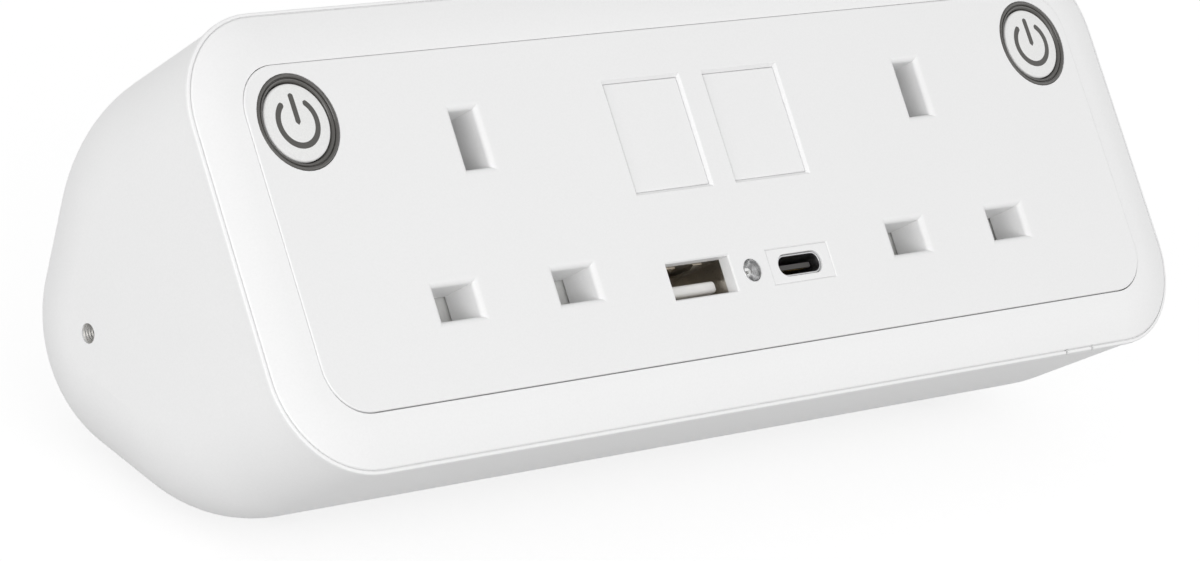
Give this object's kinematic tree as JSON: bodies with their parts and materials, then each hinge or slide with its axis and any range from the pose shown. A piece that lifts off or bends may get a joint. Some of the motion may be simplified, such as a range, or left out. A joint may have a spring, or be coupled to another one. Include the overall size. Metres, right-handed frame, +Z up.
{
  "type": "desktop power module",
  "caption": "White wedge-backed desktop power module with shuttered three-pin sockets, power push buttons, USB ports and blanked data windows on a sloping face.",
  "frame": {"origin": "middle of the footprint, on the surface the feet stand on", "axes": "+X along the length towards the right-hand socket, -Y towards the user, +Z up"},
  "size_m": [0.1816, 0.0679, 0.0679],
  "materials": {
    "shell_white": "fine satin moulding",
    "face_white": "satin moulding",
    "button_white": "satin moulding",
    "ring_grey": "satin moulding",
    "shutter_white": "matte moulding",
    "carrier_white": "matte moulding",
    "switch_black": "matte moulding",
    "plunger_white": "matte moulding",
    "port_steel": "nickel plated",
    "tongue_white": "matte moulding",
    "tongue_black": "matte moulding",
    "lamp_clear": "clear moulding",
    "contact_brass": "stamped",
    "zinc_steel": "zinc plated",
    "spring_steel": "drawn wire",
    "board_green": "solder mask",
    "core_grey": "sintered",
    "sleeve_black": "shrunk sleeve",
    "rubber_grey": "matte",
    "grommet_white": "matte"
  },
  "bodies": {
    "module": {"rear_housing": "shell_white", "front_bezel": "shell_white", "faceplate": "face_white", "neutral_bar": "contact_brass", "earth_bar": "contact_brass", "live_feed_bar": "contact_brass", "live_terminal": "contact_brass", "neutral_terminal": "contact_brass", "earth_terminal": "contact_brass", "terminal_screws": "zinc_steel", "usb_a_shell": "port_steel", "usb_a_tongue": "tongue_white", "usb_c_surround": "face_white", "usb_c_shell": "port_steel", "usb_c_tongue": "tongue_black", "status_lamp": "lamp_clear", "charger_board": "board_green", "charger_transformer": "core_grey", "charger_capacitor": "sleeve_black", "cable_grommet": "grommet_white", "cord_clamp": "carrier_white", "clamp_screws": "zinc_steel", "case_screws": "zinc_steel", "carrier_screws": "zinc_steel", "left_button_ring": "ring_grey", "left_switch_body": "switch_black", "left_socket_carrier": "carrier_white", "left_shutter_spring": "spring_steel", "left_live_contact": "contact_brass", "left_keystone_blank": "face_white", "left_end_insert": "contact_brass", "front_left_foot": "rubber_grey", "rear_left_foot": "rubber_grey", "right_button_ring": "ring_grey", "right_switch_body": "switch_black", "right_socket_carrier": "carrier_white", "right_shutter_spring": "spring_steel", "right_live_contact": "contact_brass", "right_keystone_blank": "face_white", "right_end_insert": "contact_brass", "front_right_foot": "rubber_grey", "rear_right_foot": "rubber_grey"},
    "left_button": {"left_power_button": "button_white", "left_switch_plunger": "plunger_white"},
    "left_shutter": {"left_socket_shutter": "shutter_white"},
    "right_button": {"right_power_button": "button_white", "right_switch_plunger": "plunger_white"},
    "right_shutter": {"right_socket_shutter": "shutter_white"}
  },
  "joints": [
    {"name": "left_button_press", "type": "slide", "parent": "module", "child": "left_button", "axis": [0, 0.7071, -0.7071], "range_m": [0, 0.0015], "stiffness_N_per_m": 800, "springref_m": -0.001},
    {"name": "left_shutter_slide", "type": "slide", "parent": "module", "child": "left_shutter", "axis": [0, -0.7071, -0.7071], "range_m": [0, 0.0057], "stiffness_N_per_m": 150, "springref_m": -0.004, "deforming": ["left_shutter_spring"]},
    {"name": "right_button_press", "type": "slide", "parent": "module", "child": "right_button", "axis": [0, 0.7071, -0.7071], "range_m": [0, 0.0015], "stiffness_N_per_m": 800, "springref_m": -0.001},
    {"name": "right_shutter_slide", "type": "slide", "parent": "module", "child": "right_shutter", "axis": [0, -0.7071, -0.7071], "range_m": [0, 0.0057], "stiffness_N_per_m": 150, "springref_m": -0.004, "deforming": ["right_shutter_spring"]}
  ]
}
